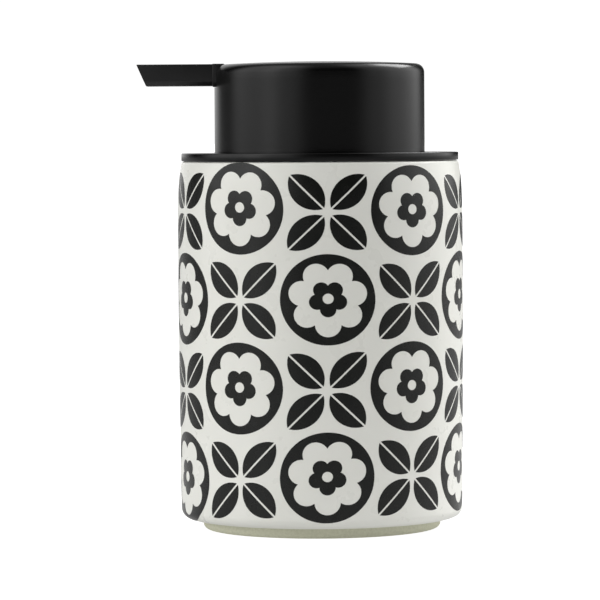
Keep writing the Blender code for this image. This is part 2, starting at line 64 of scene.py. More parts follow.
# bottle, as in the CAD model
BOTTLE_RADIUS = BOTTLE_HIGH[0]
BOTTLE_HEIGHT = BOTTLE_HIGH[2] + 0.22 * MM   # the glaze all but fills the gap under the lid plate
BELLY_HEIGHT = 60.4 * MM
RIM_DRAW_IN = 0.66 * MM
RIM_REACH = 40.0 * MM
RIM_CURVE = 8.0
FOOT_DRAW_IN = 0.40 * MM
FOOT_REACH = 52.5 * MM
FOOT_CURVE = 1.3
BOTTOM_ROUND = 2.8 * MM
RIM_ROUND = 0.9 * MM
MOUTH_RADIUS = 35.4 * MM
FLOOR_THICKNESS = 6.5 * MM
FLOOR_ROUND = 4.0 * MM
FOOT_RADIUS = 33.4 * MM
FOOT_HEIGHT = 3.1 * MM
FOOT_ROUND = 1.5 * MM

# head
HEAD_RADIUS = CAP_HIGH[0]
HEAD_TOP = CAP_HIGH[2]
HEAD_BOTTOM = CAP_LOW[2]
HEAD_WALL = 1.3 * MM
CROWN_DROP = 0.75 * MM
EDGE_ROUND = 2.5 * MM

# print
COLUMNS = 10
ROWS = 4
FIRST_COLUMN = math.radians(2.57)       # of the middle column, right of the front
LOWER_TURN = math.radians(-0.65)        # the two lower rows were printed a little further round
STRETCH = math.radians(0.5)             # the transfer is stretched over the front
SECOND_SHEET = range(4, 9)              # columns of the second transfer sheet, laid on a little lower
SECOND_SHEET_DROP = 0.9 * MM
FIRST_ROW = 17.55 * MM
ROW_PITCH = 24.13 * MM
CELL_WIDTH = 25.5 * MM
CELL_HEIGHT = 24.1 * MM
LEAF_DROP = 0.53 * MM                   # leaf motifs sit a little lower than the flowers
LEAF_LEAN = 0.018                       # and are slightly sheared
INK_SPREAD = 0.05 * MM                  # the ink runs this far past the drawn edges
INK_OUTSIDE = 0.03 * MM
INK_INSIDE = 0.03 * MM
PULL = 0.04                             # the transfer is pulled taller towards the spout's side
PULL_OFFSET = 0.004                     # and a trace shorter on the other side
WRAP_LIMIT = math.radians(80)           # how far the print follows the rounds at rim and bottom

ROUND_STEPS = 256                       # wide visible pieces
PUMP_STEPS = 96                         # the pump's inner pieces
ON_AXIS = 1e-7                          # a smaller radius lies on the axis


# ---------------------------------------------------------------- material helpers
class Shading:
    """Builds one procedural material around its Principled shader."""

    def __init__(self, name, colour, roughness, metallic=0.0):
        self.material = bpy.data.materials.new(name)
        self.material.use_nodes = True
        self.tree = self.material.node_tree
        self.shader = self.tree.nodes["Principled BSDF"]
        self.shader.inputs["Base Color"].default_value = (*colour, 1.0)
        self.shader.inputs["Roughness"].default_value = roughness
        self.shader.inputs["Metallic"].default_value = metallic
        self.place = self.tree.nodes.new("ShaderNodeTexCoord").outputs["Object"]

    def link(self, output, target):
        self.tree.links.new(output, target)

    def noise(self, size, detail=3.0, roughness=0.5, stretch=(1.0, 1.0, 1.0)):
        """Noise whose features are about size metres across. Returns its 0 to 1 output."""
        scaled = self.tree.nodes.new("ShaderNodeVectorMath")
        scaled.operation = "MULTIPLY"
        scaled.inputs[1].default_value = [1.0 / (size * s) for s in stretch]
        self.link(self.place, scaled.inputs[0])
        noise = self.tree.nodes.new("ShaderNodeTexNoise")
        noise.inputs["Scale"].default_value = 1.0
        noise.inputs["Detail"].default_value = detail
        noise.inputs["Roughness"].default_value = roughness
        self.link(scaled.outputs[0], noise.inputs["Vector"])
        return noise.outputs["Fac"]

    def spread(self, value, low, high, start=0.3, end=0.7):
        """Maps a 0 to 1 value to low to high."""
        ramp = self.tree.nodes.new("ShaderNodeMapRange")
        ramp.inputs["From Min"].default_value = start
        ramp.inputs["From Max"].default_value = end
        ramp.inputs["To Min"].default_value = low
        ramp.inputs["To Max"].default_value = high
        self.link(value, ramp.inputs["Value"])
        return ramp.outputs["Result"]

    def tint(self, value, dark, light):
        """Base colour that runs from dark to light with a value."""
        mix = self.tree.nodes.new("ShaderNodeMix")
        mix.data_type = "RGBA"
        mix.inputs["A"].default_value = (*dark, 1.0)
        mix.inputs["B"].default_value = (*light, 1.0)
        self.link(value, mix.inputs["Factor"])
        self.link(mix.outputs["Result"], self.shader.inputs["Base Color"])

    def roughness(self, value, low, high):
        self.link(self.spread(value, low, high), self.shader.inputs["Roughness"])

    def bump(self, value, depth, strength=1.0):
        """Bump of a real depth in metres."""
        bump = self.tree.nodes.new("ShaderNodeBump")
        bump.inputs["Strength"].default_value = strength
        bump.inputs["Distance"].default_value = depth
        self.link(value, bump.inputs["Height"])
        self.link(bump.outputs["Normal"], self.shader.inputs["Normal"])


def white_glaze():
    """Thick satin glaze: faint clouding and a soft orange peel."""
    look = Shading("white_glaze", (0.85, 0.85, 0.79), 0.30)
    clouds = look.spread(look.noise(22 * MM, 4.0), 0.0, 1.0)
    look.tint(clouds, (0.835, 0.835, 0.775), (0.865, 0.865, 0.810))
    look.roughness(look.noise(6 * MM), 0.26, 0.34)
    look.bump(look.noise(2.2 * MM, 2.0), 0.012 * MM)
    look.shader.inputs["IOR"].default_value = 1.5
    return look.material


def print_ink():
    """Black transfer print under a satin glaze."""
    look = Shading("print_ink", (0.008, 0.009, 0.0075), 0.30)
    look.tint(look.spread(look.noise(5 * MM), 0.0, 1.0), (0.0048, 0.0053, 0.0045), (0.0080, 0.0087, 0.0074))
    look.roughness(look.noise(3 * MM), 0.24, 0.30)
    look.shader.inputs["Specular IOR Level"].default_value = 0.30
    look.bump(look.noise(2.2 * MM, 2.0), 0.010 * MM)
    return look.material


def bare_clay():
    """Unglazed foot: dull, greenish beige, with a fine grain and specks."""
    look = Shading("bare_clay", (0.68, 0.68, 0.525), 0.85)
    grain = look.noise(0.7 * MM, 5.0, 0.65)
    look.tint(look.spread(grain, 0.0, 1.0), (0.62, 0.62, 0.465), (0.74, 0.74, 0.58))
    look.roughness(look.noise(4 * MM), 0.78, 0.92)
    look.bump(grain, 0.04 * MM)
    return look.material


def black_satin():
    """Black powder coat: a very fine, even texture with a satin sheen."""
    look = Shading("black_satin", (0.0024, 0.0024, 0.0024), 0.23)
    grain = look.noise(0.35 * MM, 2.0)
    look.tint(look.spread(look.noise(9 * MM), 0.0, 1.0), (0.0018, 0.0018, 0.0018), (0.0030, 0.0030, 0.0029))
    look.roughness(look.noise(12 * MM), 0.21, 0.25)
    look.shader.inputs["Specular IOR Level"].default_value = 0.30
    look.bump(grain, 0.0025 * MM)
    return look.material


def black_moulded():
    """The spout's moulded black: a little duller and lighter than the coated head."""
    look = Shading("black_moulded", (0.0065, 0.0065, 0.0068), 0.36)
    look.tint(look.spread(look.noise(6 * MM), 0.0, 1.0), (0.0058, 0.0058, 0.0060), (0.0074, 0.0074, 0.0077))
    look.roughness(look.noise(4 * MM), 0.33, 0.39)
    look.shader.inputs["Specular IOR Level"].default_value = 0.40
    look.bump(look.noise(0.4 * MM, 2.0), 0.003 * MM)
    return look.material


def moulded_plastic(name, dark, light, roughness, through=0.0):
    """Moulded plastic or rubber: slight flow marks, and a share of the light may pass through."""
    look = Shading(name, light, roughness)
    look.tint(look.spread(look.noise(8 * MM, 3.0, 0.5, (1.0, 1.0, 2.5)), 0.0, 1.0), dark, light)
    look.roughness(look.noise(3 * MM), roughness - 0.05, roughness + 0.06)
    look.bump(look.noise(2.5 * MM, 1.0), 0.004 * MM)
    look.shader.inputs["Transmission Weight"].default_value = through
    return look.material


def spring_steel():
    """Drawn stainless wire and polished balls: fine marks along the wire."""
    look = Shading("steel", (0.60, 0.60, 0.61), 0.22, 1.0)
    look.tint(look.spread(look.noise(0.5 * MM, 3.0), 0.0, 1.0), (0.54, 0.54, 0.55), (0.66, 0.66, 0.67))
    look.roughness(look.noise(0.3 * MM), 0.16, 0.28)
    look.bump(look.noise(0.2 * MM), 0.002 * MM)
    return look.material


GLAZE = white_glaze()
INK = print_ink()
CLAY = bare_clay()
BLACK = black_satin()
SPOUT_BLACK = black_moulded()
DARK_PLASTIC = moulded_plastic("dark_plastic", (0.020, 0.020, 0.021), (0.030, 0.030, 0.031), 0.45)
MILKY = moulded_plastic("milky_plastic", (0.68, 0.70, 0.71), (0.78, 0.80, 0.81), 0.32)
SOFT_WHITE = moulded_plastic("piston_plastic", (0.72, 0.72, 0.70), (0.82, 0.82, 0.80), 0.48)
SILICONE = moulded_plastic("silicone", (0.44, 0.45, 0.46), (0.55, 0.56, 0.57), 0.55, 0.15)
STEEL = spring_steel()


# ---------------------------------------------------------------- mesh helpers
def add_piece(name, mesh, body, materials, node=None, sharp=35.0):
    """Makes an object of a mesh that rides on a body and, if a node is given, stands for it."""
    piece = bpy.data.objects.new(name, mesh)
    bpy.context.scene.collection.objects.link(piece)
    for material in materials:
        mesh.materials.append(material)
    mesh.shade_smooth()
    mesh.set_sharp_from_angle(angle=math.radians(sharp))
    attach(piece, body)
    if node:
        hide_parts(node)
    return piece


def arc(centre_r, centre_z, radius, start, end, steps):
    """Points of a round, from one angle to the other, in degrees."""
    angles = [math.radians(start + (end - start) * step / steps) for step in range(steps + 1)]
    return [(centre_r + radius * math.cos(a), centre_z + radius * math.sin(a)) for a in angles]


def softened(profile, radius, steps=3):
    """A profile with its corners rounded, to the radius or to a share of the shorter side."""
    largest_share = 0.4
    slightest_bend = math.radians(20)
    closed = profile[0][0] > ON_AXIS
    points = []
    count = len(profile)
    for index, corner in enumerate(profile):
        if not closed and index in (0, count - 1):
            points.append(corner)
            continue
        here = Vector(corner)
        before = Vector(profile[index - 1]) - here
        after = Vector(profile[(index + 1) % count]) - here
        bend = math.pi - before.angle(after)
        if bend < slightest_bend:
            points.append(corner)
            continue
        reach = min(radius * math.tan(bend / 2), largest_share * before.length, largest_share * after.length)
        start = here + before.normalized() * reach
        end = here + after.normalized() * reach
        for step in range(steps + 1):
            t = step / steps
            point = start * (1 - t) ** 2 + here * 2 * t * (1 - t) + end * t ** 2
            points.append((point.x, point.y))
    return points


def lathe(name, profile, steps):
    """Turns a profile of (radius, height) points about Z. It closes on itself unless it ends on the axis."""
    mesh = bpy.data.meshes.new(name)
    form = bmesh.new()
    rings = []
    for radius, height in profile:
        if radius < ON_AXIS:
            rings.append([form.verts.new((0.0, 0.0, height))])
            continue
        angles = [2 * math.pi * step / steps for step in range(steps)]
        rings.append([form.verts.new((radius * math.cos(a), radius * math.sin(a), height)) for a in angles])
    pairs = list(zip(rings, rings[1:]))
    if profile[0][0] > ON_AXIS:
        pairs.append((rings[-1], rings[0]))
    for upper, lower in pairs:
        for step in range(steps):
            following = (step + 1) % steps
            if len(upper) == 1:
                form.faces.new((upper[0], lower[step], lower[following]))
            elif len(lower) == 1:
                form.faces.new((upper[step], lower[0], upper[following]))
            else:
                form.faces.new((upper[step], lower[step], lower[following], upper[following]))
    bmesh.ops.recalc_face_normals(form, faces=form.faces)
    form.to_mesh(mesh)
    form.free()
    return mesh


def cad_profile(node, angle=0.0):
    """The profile of a turned CAD node, read off its own mesh in the half plane at an angle, in order."""
    form = bmesh.new()
    form.from_mesh(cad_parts[node].data)
    bmesh.ops.remove_doubles(form, verts=form.verts, dist=0.002 * MM)
    turn = Matrix.Rotation(-angle, 3, "Z")
    spots = {}
    for vert in form.verts:
        place = turn @ vert.co
        if abs(place.y) < 0.01 * MM and place.x > -0.001 * MM:
            spots[vert] = (max(place.x, 0.0), place.z)
    links = {vert: [] for vert in spots}
    for edge in form.edges:
        one, other = edge.verts
        if one in spots and other in spots:
            links[one].append(other)
            links[other].append(one)
    ends = [vert for vert in spots if len(links[vert]) == 1]
    start = max(ends or list(spots), key=lambda vert: (spots[vert][1], -spots[vert][0]))
    path = [start]
    while True:
        onward = [vert for vert in links[path[-1]] if vert not in path]
        if not onward:
            break
        if len(path) == 1:
            onward.sort(key=lambda vert: -spots[vert][0])
        path.append(onward[0])
    points = [spots[vert] for vert in path]
    form.free()
    return [(0.0 if radius < 0.005 * MM else radius, height) for radius, height in points]


def box_mesh(name, low, high):
    """A box between two corners."""
    mesh = bpy.data.meshes.new(name)
    form = bmesh.new()
    size = [b - a for a, b in zip(low, high)]
    middle = [(a + b) / 2 for a, b in zip(low, high)]
    bmesh.ops.create_cube(form, size=1.0, matrix=Matrix.Translation(middle) @ Matrix.Diagonal((*size, 1.0)))
    form.to_mesh(mesh)
    form.free()
    return mesh


def combined(mesh, tool_mesh, operation, place=None):
    """The Boolean of two meshes, as a new mesh."""
    body = bpy.data.objects.new("boolean_body", mesh)
    tool = bpy.data.objects.new("boolean_tool", tool_mesh)
    for item in (body, tool):
        bpy.context.scene.collection.objects.link(item)
    if place is not None:
        tool.matrix_world = place
    change = body.modifiers.new("Boolean", "BOOLEAN")
    change.operation = operation
    change.object = tool
    bpy.context.view_layer.update()
    result = bpy.data.meshes.new_from_object(body.evaluated_get(bpy.context.evaluated_depsgraph_get()))
    for item in (body, tool):
        bpy.data.objects.remove(item, do_unlink=True)
    result.materials.clear()
    return result


def bevelled(mesh, width, segments=3, angle=30.0):
    """The mesh with its edges sharper than an angle rounded."""
    body = bpy.data.objects.new("bevel_body", mesh)
    bpy.context.scene.collection.objects.link(body)
    change = body.modifiers.new("Bevel", "BEVEL")
    change.width = width
    change.segments = segments
    change.limit_method = "ANGLE"
    change.angle_limit = math.radians(angle)
    bpy.context.view_layer.update()
    result = bpy.data.meshes.new_from_object(body.evaluated_get(bpy.context.evaluated_depsgraph_get()))
    bpy.data.objects.remove(body, do_unlink=True)
    return result


# ---------------------------------------------------------------- bottle
def belly(height):
    """The bottle's side without its rounds: widest at the belly, drawn in towards rim and foot."""
    if height > BELLY_HEIGHT:
        return BOTTLE_RADIUS - RIM_DRAW_IN * ((height - BELLY_HEIGHT) / RIM_REACH) ** RIM_CURVE
    return BOTTLE_RADIUS - FOOT_DRAW_IN * ((BELLY_HEIGHT - height) / FOOT_REACH) ** FOOT_CURVE


RIM_START = BOTTLE_HEIGHT - RIM_ROUND
CORNER_START = FOOT_HEIGHT + BOTTOM_ROUND


def glaze_point(run, lift):
    """A point of the glazed surface (radius, height), lifted off it, at a run along its side.

    The run is the height on the belly, and goes on as arc length over the rim's and the corner's rounds.
    """
    if run > RIM_START:
        turn = min((run - RIM_START) / RIM_ROUND, WRAP_LIMIT)
        reach = RIM_ROUND + lift
        radius = belly(RIM_START) - RIM_ROUND + reach * math.cos(turn)
        return radius, RIM_START + reach * math.sin(turn)
    if run < CORNER_START:
        turn = min((CORNER_START - run) / BOTTOM_ROUND, WRAP_LIMIT)
        reach = BOTTOM_ROUND + lift
        radius = belly(CORNER_START) - BOTTOM_ROUND + reach * math.cos(turn)
        return radius, CORNER_START - reach * math.sin(turn)
    return belly(run) + lift, run


def make_bottle():
    """Glazed body and bare foot in one turned piece, from the inner floor's centre round to the foot's."""
    corner_centre = belly(CORNER_START) - BOTTOM_ROUND
    profile = [(0.0, FLOOR_THICKNESS), (12 * MM, FLOOR_THICKNESS), (24 * MM, FLOOR_THICKNESS)]
    profile += arc(MOUTH_RADIUS - FLOOR_ROUND, FLOOR_THICKNESS + FLOOR_ROUND, FLOOR_ROUND, -90, 0, 10)
    profile += [(MOUTH_RADIUS, height * MM) for height in (25, 45, 65, 85)]
    profile += arc(MOUTH_RADIUS + RIM_ROUND, RIM_START, RIM_ROUND, 180, 90, 8)
    profile += arc(belly(RIM_START) - RIM_ROUND, RIM_START, RIM_ROUND, 90, 0, 10)
    side_steps = 64
    for step in range(1, side_steps):
        height = RIM_START + (CORNER_START - RIM_START) * step / side_steps
        profile.append((belly(height), height))
    profile += arc(corner_centre, CORNER_START, BOTTOM_ROUND, 0, -90, 14)
    clay_start = len(profile)
    foot_fillet = 0.3 * MM
    profile.append((FOOT_RADIUS + foot_fillet, FOOT_HEIGHT + 0.02 * MM))
    profile += [(FOOT_RADIUS, FOOT_HEIGHT - foot_fillet), (FOOT_RADIUS, FOOT_ROUND)]
    profile += arc(FOOT_RADIUS - FOOT_ROUND, FOOT_ROUND, FOOT_ROUND, 0, -90, 8)[1:]
    profile += [(20 * MM, 0.0), (0.0, 0.0)]
    mesh = lathe("bottle", profile, ROUND_STEPS)
    edge_height = profile[clay_start][1]
    clay_radius = profile[clay_start][0] + 0.01 * MM
    for face in mesh.polygons:
        middle = face.center
        if middle.z < edge_height and math.hypot(middle.x, middle.y) < clay_radius:
            face.material_index = 1
    return add_piece("glazed_bottle", mesh, "bottle_body", [GLAZE, CLAY], "bottle", 50.0)


# ---------------------------------------------------------------- print
def on_glaze(column, row, across, up, lift):
    """A point of the print: across and up in metres from its motif's centre, wrapped on the bottle."""
    turn = column * 2 * math.pi / COLUMNS + across / BOTTLE_RADIUS
    turn += FIRST_COLUMN + STRETCH * math.sin(turn)
    if row < 2:
        turn += LOWER_TURN
    if column in SECOND_SHEET:
        up -= SECOND_SHEET_DROP
    middle = FIRST_ROW + 1.5 * ROW_PITCH
    pull = PULL * ((1 - math.sin(turn)) / 2) ** 2 - PULL_OFFSET
    run = middle + (FIRST_ROW + row * ROW_PITCH + up - middle) * (1 + pull)
    radius, height = glaze_point(run, lift)
    return (radius * math.sin(turn), -radius * math.cos(turn), height)


def add_sheet(form, grid, column, row, closed):
    """A thin solid over a grid of (across, up) points. closed joins its first and last rows."""
    layers = []
    for lift in (INK_OUTSIDE, -INK_INSIDE):
        layers.append([[form.verts.new(on_glaze(column, row, a, u, lift)) for a, u in line] for line in grid])
    top, bottom = layers
    lines = len(grid)
    last = len(grid[0]) - 1
    spans = lines if closed else lines - 1
    for i in range(spans):
        j = (i + 1) % lines
        for k in range(last):
            form.faces.new((top[i][k], top[i][k + 1], top[j][k + 1], top[j][k]))
            form.faces.new((bottom[j][k], bottom[j][k + 1], bottom[i][k + 1], bottom[i][k]))
        form.faces.new((top[j][0], bottom[j][0], bottom[i][0], top[i][0]))
        form.faces.new((top[i][last], bottom[i][last], bottom[j][last], top[j][last]))
    if not closed:
        for k in range(last):
            form.faces.new((top[0][k + 1], top[0][k], bottom[0][k], bottom[0][k + 1]))
            form.faces.new((top[-1][k], top[-1][k + 1], bottom[-1][k + 1], bottom[-1][k]))


def petal_reach(turn, petals, centre, radius):
    """Distance to the edge of a flower of round petals, one of which points straight down."""
    step = 2 * math.pi / petals
    off = (turn + math.pi + step / 2) % step - step / 2
    return centre * math.cos(off) + math.sqrt(radius ** 2 - (centre * math.sin(off)) ** 2)


def flower_rings():
    """The two black rings of a medallion as grids: disc round a white flower, flower round a white dot."""
    half_width = 0.5125 * CELL_WIDTH
    half_height = 0.51 * CELL_HEIGHT
    # each flower's petals: how many, how far out and how wide, as shares of the disc's radius
    flower = (7, 0.561, 0.278)
    heart_flower = (5, 0.235, 0.1675)
    dot = 0.118
    flower_raised = 0.15 * MM
    heart_raised = 0.28 * MM
    steps_per_petal = 20

    def edge(reach, spread, raised, turn):
        across = (half_width * reach + spread) * math.sin(turn)
        return across, (half_height * reach + spread) * math.cos(turn) + raised

    def grid(steps, inner, outer, bands):
        lines = []
        for step in range(steps):
            turn = 2 * math.pi * step / steps
            start, end = Vector(inner(turn)), Vector(outer(turn))
            lines.append([tuple(start.lerp(end, band / bands)) for band in range(bands + 1)])
        return lines

    disc = grid(flower[0] * steps_per_petal,
                lambda turn: edge(petal_reach(turn, *flower), -INK_SPREAD, flower_raised, turn),
                lambda turn: edge(1.0, INK_SPREAD, 0.0, turn), 10)
    heart = grid(heart_flower[0] * steps_per_petal,
                 lambda turn: edge(dot, -INK_SPREAD, heart_raised, turn),
                 lambda turn: edge(petal_reach(turn, *heart_flower), INK_SPREAD, heart_raised, turn), 3)
    return disc, heart


def leaf_halves():
    """The eight half leaves of a leaf motif as grids, between a straight rib and a round edge."""
    near, far = 0.0390, 0.4150              # ends of a leaf on the diagonal, in cells
    roundness = 0.595                       # a leaf's half width, as a share of its half length
    thinnest = 0.0004                       # a half leaf's width at its ends, in cells
    spread = INK_SPREAD / CELL_WIDTH
    rib = 0.0125 - spread                   # half the gap between the halves, in cells
    chord = math.hypot(far - near, far - near)
    bulge = roundness * chord / 2 + spread
    radius = ((chord / 2) ** 2 + bulge ** 2) / (2 * bulge)
    # the round edge is worked out along the leaf, only where it stands clear of the rib
    reach = math.sqrt(radius ** 2 - (radius - bulge + rib) ** 2)
    steps, bands = 28, 6
    halves = []
    for quarter in range(4):
        along = Vector((1.0, 1.0)) if quarter % 2 == 0 else Vector((1.0, -1.0))
        along = (along if quarter < 2 else -along).normalized()
        side = Vector((-along.y, along.x))
        for hand in (1.0, -1.0):
            lines = []
            for step in range(steps + 1):
                run = -reach * math.cos(math.pi * step / steps)
                edge = math.sqrt(radius ** 2 - run ** 2) - (radius - bulge)
                edge = max(edge, rib + thinnest)
                foot = along * ((near + far) / 2 * math.sqrt(2.0) + run)
                line = []
                for band in range(bands + 1):
                    point = foot + side * hand * (rib + (edge - rib) * band / bands)
                    line.append((point.x * CELL_WIDTH, point.y * CELL_HEIGHT))
                lines.append(line)
            halves.append(lines)
    return halves


def make_print():
    """Flower medallions and leaf motifs in turn, like the squares of a draughtboard."""
    disc, heart = flower_rings()
    leaves = leaf_halves()
    for name, is_flower in (("print_flowers", True), ("print_leaves", False)):
        form = bmesh.new()
        for column in range(COLUMNS):
            for row in range(ROWS):
                if ((column + row) % 2 == 0) != is_flower:
                    continue
                if is_flower:
                    add_sheet(form, disc, column, row, True)
                    add_sheet(form, heart, column, row, True)
                else:
                    for half in leaves:
                        leaning = [[(a + LEAF_LEAN * u, u + LEAF_LEAN * a - LEAF_DROP) for a, u in line]
                                   for line in half]
                        add_sheet(form, leaning, column, row, False)
        bmesh.ops.recalc_face_normals(form, faces=form.faces)
        mesh = bpy.data.meshes.new(name)
        form.to_mesh(mesh)
        form.free()
        add_piece(name, mesh, "bottle_body", [INK], None, 40.0)


# ---------------------------------------------------------------- head and lid plate
def crown(radius, offset=0.0):
    """Height of the cap's gently domed top at a radius."""
    edge = HEAD_RADIUS - EDGE_ROUND
    return HEAD_TOP - offset - CROWN_DROP * (radius / edge) ** 2


def make_head_cap():
    """The head's shell: a wall of even thickness with a slot for the spout's root."""
    edge = HEAD_RADIUS - EDGE_ROUND
    round_height = crown(edge) - EDGE_ROUND
    lip = 0.3 * MM
    outside = [(0.0, HEAD_TOP)] + [(edge * s / 10, crown(edge * s / 10)) for s in range(1, 10)]
    outside += arc(edge, round_height, EDGE_ROUND, 87, 0, 14)
    side_steps = 12
    for step in range(1, side_steps):
        height = round_height + (HEAD_BOTTOM + lip - round_height) * step / side_steps
        outside.append((HEAD_RADIUS, height))
    outside += arc(HEAD_RADIUS - lip, HEAD_BOTTOM + lip, lip, 0, -90, 4)
    inside = [(0.0, HEAD_TOP - HEAD_WALL)]
    inside += [(edge * s / 4, crown(edge * s / 4, HEAD_WALL)) for s in range(1, 4)]
    inside += arc(edge, round_height, EDGE_ROUND - HEAD_WALL, 90, 0, 6)
    inside.append((HEAD_RADIUS - HEAD_WALL, HEAD_BOTTOM))
    mesh = lathe("head_cap", outside + inside[::-1], ROUND_STEPS)
    gap, end_gap = 0.18 * MM, 0.25 * MM
    half_slot = SPOUT_HIGH[1] + gap
    slot = box_mesh("slot", (-HEAD_RADIUS - 2 * MM, -half_slot, SPOUT_LOW[2] - gap),
                    (SPOUT_HIGH[0] + end_gap, half_slot, HEAD_TOP + 3 * MM))
    mesh = combined(mesh, slot, "DIFFERENCE")
    return add_piece("head_shell", mesh, "head_body", [BLACK], "head_cap")


def make_lid_plate():
    """Flat ring with all four edges rounded."""
    edge = 0.3 * MM
    inner = 29.95 * MM
    outer = PLATE_HIGH[0]
    low, high = PLATE_LOW[2], PLATE_HIGH[2]
    profile = arc(inner + edge, high - edge, edge, 180, 90, 4)
    profile += arc(outer - edge, high - edge, edge, 90, 0, 4)
    profile += arc(outer - edge, low + edge, edge, 0, -90, 4)
    profile += arc(inner + edge, low + edge, edge, 270, 180, 4)
    mesh = lathe("lid_plate", profile, ROUND_STEPS)
    return add_piece("lid_disc", mesh, "lid_body", [BLACK], "lid_plate")


# ---------------------------------------------------------------- spout
def bar_outline(half_width, bottom, top, chamfer, edge):
    """Cross-section of the spout as (y, z) points: chamfered below, rounded above."""
    right = arc(half_width - edge, top - edge, edge, 90, 0, 5)
    right += [(half_width, bottom + chamfer), (half_width - 0.8 * chamfer, bottom)]
    return right + [(-y, z) for y, z in right[::-1]]


def prism(name, outline, root, end_of):
    """Extrudes an outline from x = root to an end that depends on the height."""
    form = bmesh.new()
    near = [form.verts.new((root, y, z)) for y, z in outline]
    far = [form.verts.new((end_of(z), y, z)) for y, z in outline]
    count = len(outline)
    for i in range(count):
        j = (i + 1) % count
        form.faces.new((near[i], near[j], far[j], far[i]))
    form.faces.new(near)
    form.faces.new(far)
    bmesh.ops.recalc_face_normals(form, faces=form.faces)
    mesh = bpy.data.meshes.new(name)
    form.to_mesh(mesh)
    form.free()
    return mesh


def rod_mesh(name, radius, start, end, height, steps=48):
    """A cylinder along X."""
    mesh = bpy.data.meshes.new(name)
    form = bmesh.new()
    turn = Matrix.Translation(((start + end) / 2, 0.0, height)) @ Matrix.Rotation(math.pi / 2, 4, "Y")
    bmesh.ops.create_cone(form, cap_ends=True, segments=steps, radius1=radius, radius2=radius,
                          depth=abs(end - start), matrix=turn)
    form.to_mesh(mesh)
    form.free()
    return mesh


def make_spout():
    """Flat bar with a slanted end, chamfered lower edges, a root collar and the outlet's bore."""
    collar_extra = 0.25 * MM
    bar_top = SPOUT_HIGH[2] - 0.1 * MM
    bar_bottom = SPOUT_LOW[2] + collar_extra
    half_width = SPOUT_HIGH[1] - 0.5 * MM
    chamfer = 1.3 * MM
    undercut = 2.7 * MM
    tip = SPOUT_LOW[0]
    root = SPOUT_HIGH[0]
    collar_face = -HEAD_RADIUS - 0.4 * MM
    top_edge = 0.3 * MM
    bore_gap = 0.3 * MM
    slope = undercut / (bar_top - bar_bottom)
    bar = prism("spout", bar_outline(half_width, bar_bottom, bar_top, chamfer, top_edge), root - 1 * MM,
                lambda z: tip + (bar_top - z) * slope)
    bar = bevelled(bar, 0.16 * MM, 3, 25.0)
    collar = prism("collar", bar_outline(SPOUT_HIGH[1], SPOUT_LOW[2], SPOUT_HIGH[2], chamfer, top_edge), root,
                   lambda z: collar_face)
    collar = bevelled(collar, 0.15 * MM, 3, 25.0)
    mesh = combined(bar, collar, "UNION")
    liner_low, liner_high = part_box("spout_tube")
    axis = (liner_low[2] + liner_high[2]) / 2
    bore = rod_mesh("bore", liner_high[1] + bore_gap, tip - 2 * MM, root + 2 * MM, axis)
    mesh = combined(mesh, bore, "DIFFERENCE")
    return add_piece("flat_spout", mesh, "head_body", [SPOUT_BLACK], "spout", 32.0)


def make_spout_tube():
    """The liner tube along the spout's bore."""
    low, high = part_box("spout_tube")
    outer, inner = high[1], 1.0 * MM
    length = high[0] - low[0]
    ring = softened([(inner, length), (outer, length), (outer, 0.0), (inner, 0.0)], 0.15 * MM)
    mesh = lathe("spout_tube", ring, 48)
    place = Matrix.Translation((low[0], 0.0, (low[2] + high[2]) / 2))
    mesh.transform(place @ Matrix.Rotation(math.pi / 2, 4, "Y"))
    return add_piece("spout_liner", mesh, "head_body", [MILKY], "spout_tube")


# ---------------------------------------------------------------- the pump inside
def returned(node, name, body, material, angle=0.0, edge=0.2, cuts=()):
    """Turns a round CAD node again, finer and with softened edges, then makes its cuts."""
    mesh = lathe(name, softened(cad_profile(node, angle), edge * MM), PUMP_STEPS)
    for tool in cuts:
        mesh = combined(mesh, tool, "DIFFERENCE")
    return add_piece(name, mesh, body, [material], node)


def make_inner_pieces():
    """The pump's turned pieces, with the vent, the keeper's slots and the outlet channel cut in."""
    lid = "lid_body"
    returned("lid_well", "guide_cup", lid, DARK_PLASTIC)
    returned("lid_seal", "finned_seal", lid, SILICONE)
    returned("cylinder_gasket", "flange_gasket", lid, SILICONE)
    returned("cylinder_cap", "guide_cap", lid, MILKY)
    returned("piston", "lipped_piston", "plunger_body", SOFT_WHITE, edge=0.12)
    returned("piston_plug", "plug", "plunger_body", MILKY)
    returned("stem", "pump_stem", "head_body", MILKY, edge=0.15)
    returned("outlet_cage", "outlet_keeper", "head_body", MILKY, edge=0.15)

    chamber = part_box("pump_cylinder")[1][0]
    vent_radius, vent_start, vent_height = 0.6 * MM, 5.5 * MM, 82.4 * MM
    away_from_vent = math.pi / 2
    vent = rod_mesh("vent", vent_radius, vent_start, chamber, vent_height, 24)
    returned("pump_cylinder", "pump_chamber", lid, MILKY, away_from_vent, 0.2, [vent])

    low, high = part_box("ball_cage")
    reach, half_slot = 4.8 * MM, 0.75 * MM
    away_from_slots = math.radians(54)
    slots = [box_mesh("slot", (-x, -y, low[2] - 1 * MM), (x, y, high[2] + 1 * MM))
             for x, y in ((reach, half_slot), (half_slot, reach))]
    returned("ball_cage", "inlet_keeper", lid, MILKY, away_from_slots, 0.15, slots)

    low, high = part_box("spout_tube")
    channel_radius, channel_start = 1.8 * MM, -8 * MM
    channel = rod_mesh("channel", channel_radius, channel_start, 0.0, (low[2] + high[2]) / 2)
    returned("head_core", "head_carrier", "head_body", DARK_PLASTIC, 0.0, 0.2, [channel])


